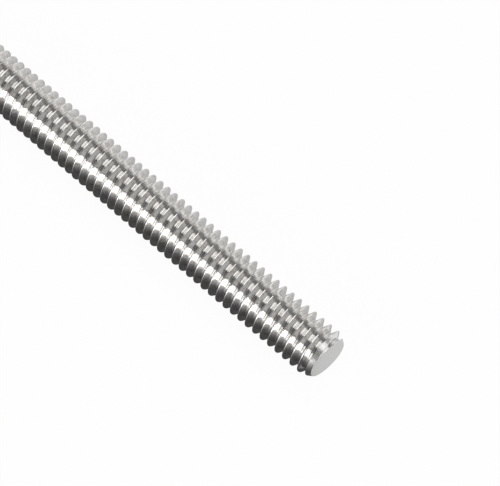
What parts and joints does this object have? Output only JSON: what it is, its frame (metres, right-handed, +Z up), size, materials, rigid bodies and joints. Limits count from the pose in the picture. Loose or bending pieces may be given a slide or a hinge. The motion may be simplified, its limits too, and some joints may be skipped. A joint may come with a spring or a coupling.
{
  "type": "threaded rod",
  "caption": "Straight steel rod with a right-hand metric thread along its whole length and bevelled, flat-cut ends.",
  "frame": {"origin": "on the surface that the rod lies on, under the middle of its length and under its axis", "axes": "+X along the rod towards the end that faces the viewer, +Z up from the surface, +Y across the rod"},
  "size_m": [0.04, 0.004, 0.004],
  "materials": {
    "stainless_steel": "bright rolled stainless steel, faintly scratched along the thread, matt on the cut ends"
  },
  "bodies": {
    "root": {"threaded_rod": "stainless_steel"}
  },
  "joints": []
}
